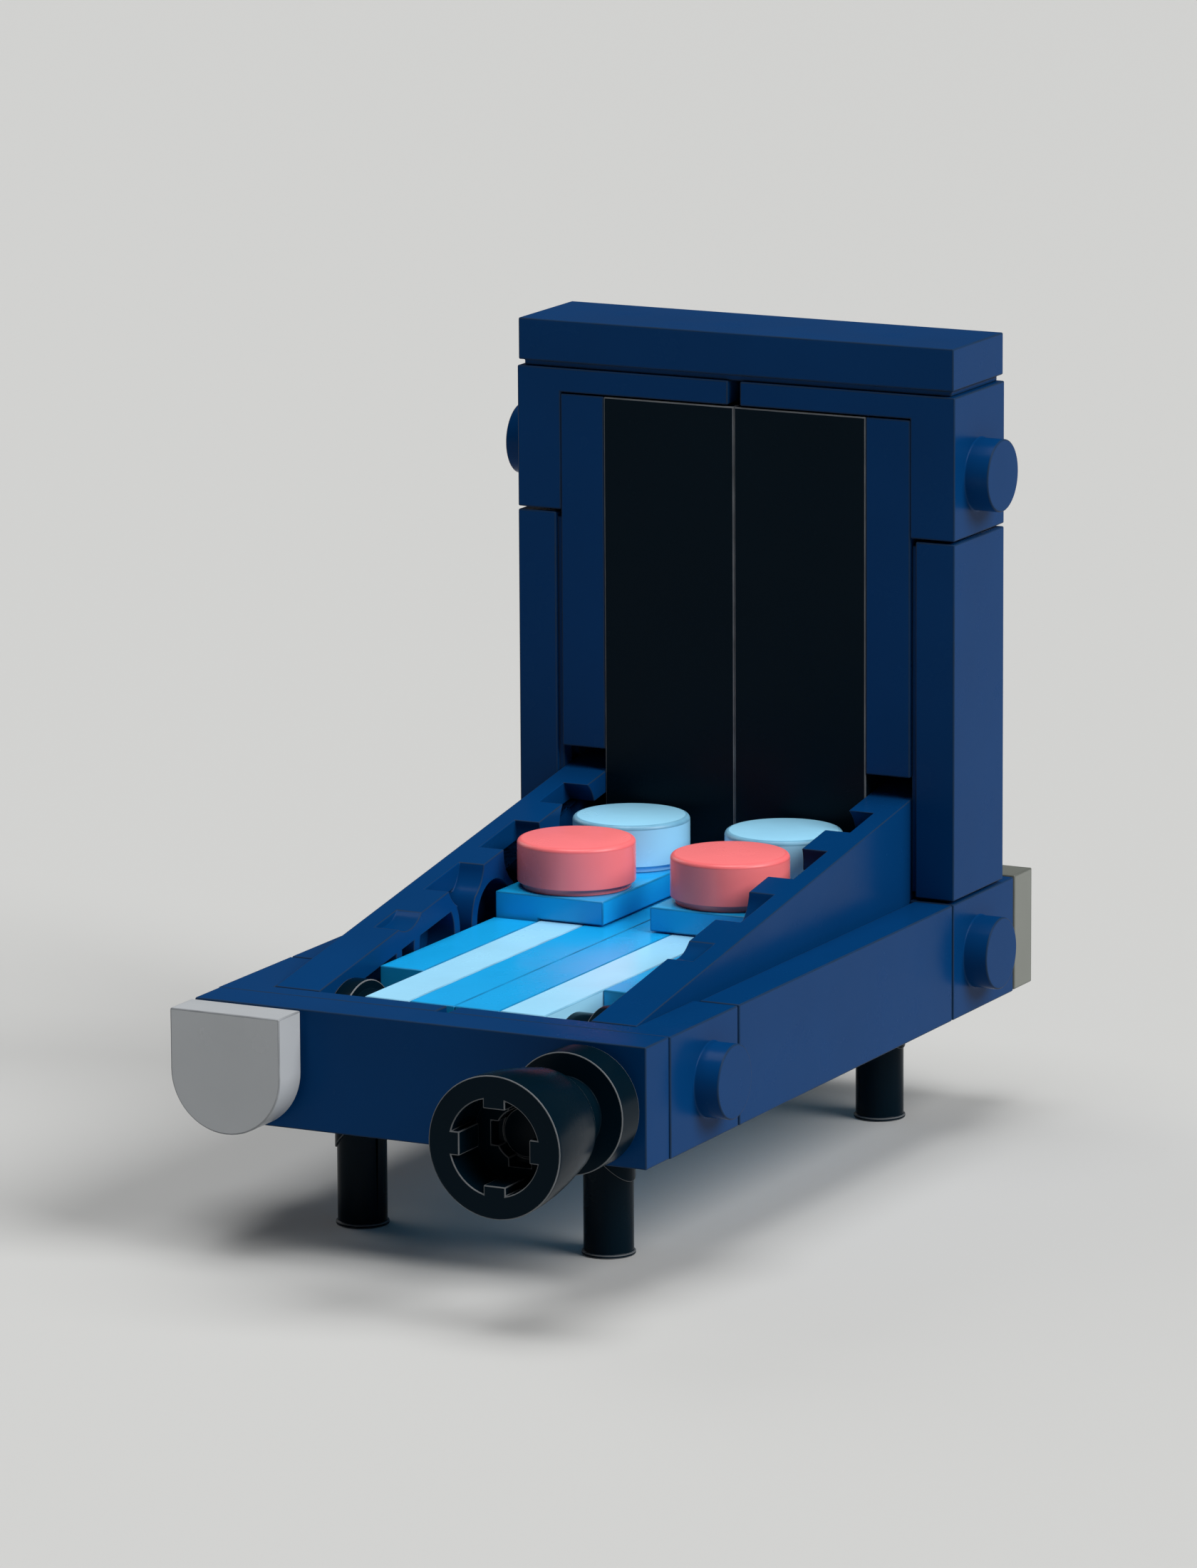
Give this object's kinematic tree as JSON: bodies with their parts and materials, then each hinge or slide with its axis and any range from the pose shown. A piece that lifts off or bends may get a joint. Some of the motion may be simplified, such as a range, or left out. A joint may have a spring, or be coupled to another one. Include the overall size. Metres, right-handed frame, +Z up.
{
  "type": "coin pusher machine",
  "caption": "Miniature brick-built arcade machine on bar legs: bed with sloping sides and striped lanes, raised shelf with round tokens, tall screen, round knob and half-round coin door.",
  "frame": {"origin": "floor level under the feet, on the middle plane, half way between the knob face and the rear tile face", "axes": "+X to the right seen from the front, +Y from the front to the back, +Z up"},
  "size_m": [0.0354, 0.0704, 0.0528],
  "materials": {
    "navy": "glossy moulded plastic, dark blue",
    "azure": "glossy moulded plastic, azure blue",
    "pale": "glossy moulded plastic, light blue",
    "coral": "glossy moulded plastic, coral",
    "black": "glossy moulded plastic, black",
    "grey": "glossy moulded plastic, light grey",
    "stone": "glossy moulded plastic, darker and warmer grey"
  },
  "bodies": {
    "cabinet": {"centre_lane_left": "azure", "centre_lane_right": "azure", "column_plate_left": "navy", "column_plate_right": "navy", "front_bracket_left": "navy", "front_bracket_right": "navy", "front_plate": "navy", "leg_front_left": "black", "leg_front_right": "black", "leg_rear_left": "black", "leg_rear_right": "black", "outer_lane_left": "azure", "outer_lane_right": "azure", "pale_lane_left": "pale", "pale_lane_right": "pale", "plunger_base": "black", "plunger_pin": "black", "rear_bracket_left": "navy", "rear_bracket_right": "navy", "rear_tile": "stone", "screen_brick_left": "black", "screen_brick_right": "black", "shelf_bracket_left": "azure", "shelf_bracket_right": "azure", "side_tile_left": "navy", "side_tile_right": "navy", "top_bracket_left": "navy", "top_bracket_right": "navy", "top_tile": "navy", "upright_tile_left": "navy", "upright_tile_right": "navy", "wedge_plate_left": "navy", "wedge_plate_right": "navy"},
    "coin_door": {"coin_door": "grey"},
    "plunger_knob": {"plunger_knob": "black"},
    "front_token_left": {"front_token_left": "coral"},
    "front_token_right": {"front_token_right": "coral"},
    "rear_token_left": {"rear_token_left": "pale"},
    "rear_token_right": {"rear_token_right": "pale"}
  },
  "joints": [
    {"name": "knob_spin", "type": "hinge", "parent": "cabinet", "child": "plunger_knob", "pos_m": [0.012, -0.0316, 0.012], "axis": [0, 1, 0], "continuous": true},
    {"name": "door_swivel", "type": "hinge", "parent": "cabinet", "child": "coin_door", "pos_m": [-0.012, -0.024, 0.012], "axis": [0, 1, 0], "continuous": true},
    {"name": "front_token_left_spin", "type": "hinge", "parent": "cabinet", "child": "front_token_left", "pos_m": [-0.0056, 0.0104, 0.0192], "axis": [0, 0, 1], "continuous": true},
    {"name": "rear_token_left_spin", "type": "hinge", "parent": "cabinet", "child": "rear_token_left", "pos_m": [-0.0056, 0.0184, 0.0192], "axis": [0, 0, 1], "continuous": true},
    {"name": "front_token_right_spin", "type": "hinge", "parent": "cabinet", "child": "front_token_right", "pos_m": [0.0056, 0.0104, 0.0192], "axis": [0, 0, 1], "continuous": true},
    {"name": "rear_token_right_spin", "type": "hinge", "parent": "cabinet", "child": "rear_token_right", "pos_m": [0.0056, 0.0184, 0.0192], "axis": [0, 0, 1], "continuous": true}
  ]
}
